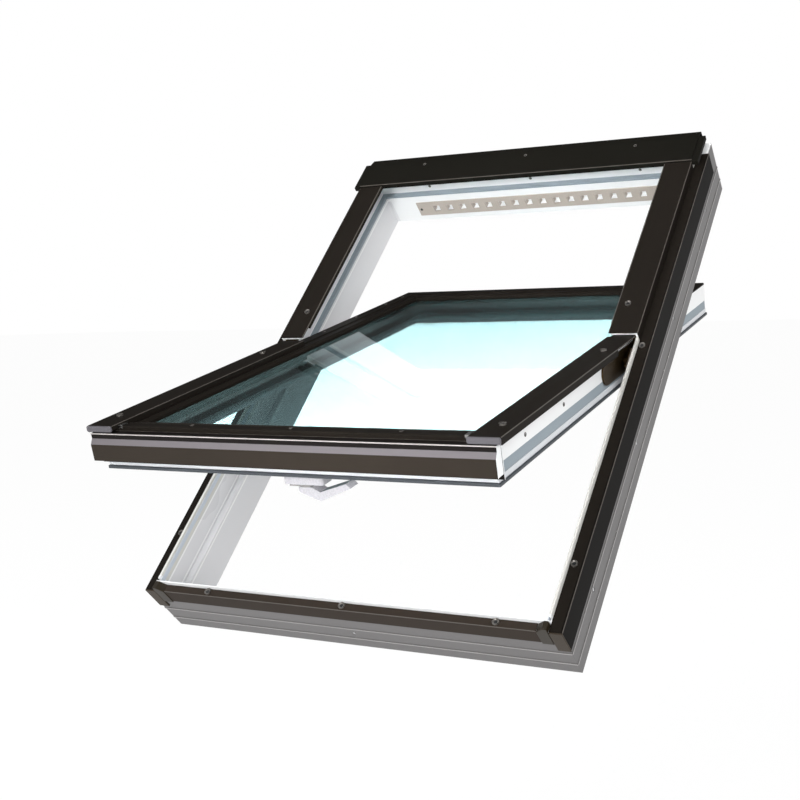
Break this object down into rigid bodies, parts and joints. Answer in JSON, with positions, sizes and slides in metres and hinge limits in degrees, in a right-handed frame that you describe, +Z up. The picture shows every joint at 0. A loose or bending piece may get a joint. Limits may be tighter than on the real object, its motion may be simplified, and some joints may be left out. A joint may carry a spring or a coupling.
{
  "type": "centre-pivot roof window",
  "caption": "Inclined roof window with a hollow plastic frame, dark metal covers and a glazed sash that swings open on side hinges, with a turning handle.",
  "frame": {"origin": "middle of the frame's room face, on the plane that lies flush with the room side", "axes": "+X to the right seen from outside, +Y horizontal towards the ridge, +Z up; the frame lies at the roof pitch of 45 degrees"},
  "size_m": [0.5544, 0.7237, 0.6249],
  "materials": {
    "pvc_white": "smooth white",
    "cladding": "satin dark brown",
    "hood_dark": "satin near black",
    "cap_grey": "satin lavender grey",
    "cap_brown": "satin brown",
    "gasket_grey": "matt grey",
    "seal_dark": "matt black",
    "glass": "clear",
    "spacer": "satin",
    "bronze": "yellow passivated",
    "steel": "bright",
    "vent": "satin beige",
    "handle_white": "smooth white"
  },
  "bodies": {
    "frame": {"corner_block_left": "cap_brown", "corner_block_right": "cap_brown", "frame_cover_screws": "steel", "frame_head": "pvc_white", "frame_left_jamb": "pvc_white", "frame_right_jamb": "pvc_white", "frame_sill": "pvc_white", "head_hood": "hood_dark", "head_screws": "steel", "head_stop": "pvc_white", "hinge_track_left": "bronze", "hinge_track_right": "bronze", "hood_end_left": "hood_dark", "hood_end_right": "hood_dark", "hood_screws": "steel", "jamb_cover_left": "cladding", "jamb_cover_right": "cladding", "jamb_end_cap_left": "cap_brown", "jamb_end_cap_right": "cap_brown", "sill_cover": "cladding", "strike_plate": "steel", "upper_cover_left": "cladding", "upper_cover_right": "cladding", "upper_cover_screws": "steel", "upper_gasket": "gasket_grey", "upper_stop_left": "pvc_white", "upper_stop_right": "pvc_white", "upstand_gasket": "gasket_grey", "vent_grille": "vent", "vent_screws": "steel"},
    "sash": {"bar_screws": "steel", "bottom_bar": "cladding", "bottom_cover": "cladding", "corner_clips": "steel", "edge_seal": "seal_dark", "glazing_gasket": "seal_dark", "handle_base": "handle_white", "hinge_shoe_left": "bronze", "hinge_shoe_right": "bronze", "inner_pane": "glass", "lower_cap_left": "cap_grey", "lower_cap_right": "cap_grey", "lower_cover_left": "cladding", "lower_cover_right": "cladding", "lower_cover_screws": "steel", "outer_pane": "glass", "pane_sealant": "seal_dark", "pane_spacer": "spacer", "sash_band": "gasket_grey", "sash_bottom_rail": "pvc_white", "sash_left_stile": "pvc_white", "sash_right_stile": "pvc_white", "sash_top_rail": "pvc_white", "side_bar_left": "cladding", "side_bar_right": "cladding", "stile_screws": "steel", "top_bar": "cladding"},
    "handle": {"handle_lever": "handle_white", "latch_tongue": "steel"}
  },
  "joints": [
    {"name": "sash_pivot", "type": "hinge", "parent": "frame", "child": "sash", "pos_m": [0, -0.06046, 0.07389], "axis": [-1, 0, 0], "range_deg": [-32.5, 117.5]},
    {"name": "handle_turn", "type": "hinge", "parent": "sash", "child": "handle", "pos_m": [0.009, -0.38912, -0.05838], "axis": [0, -0.2164, 0.9763], "range_deg": [0, 90]}
  ]
}
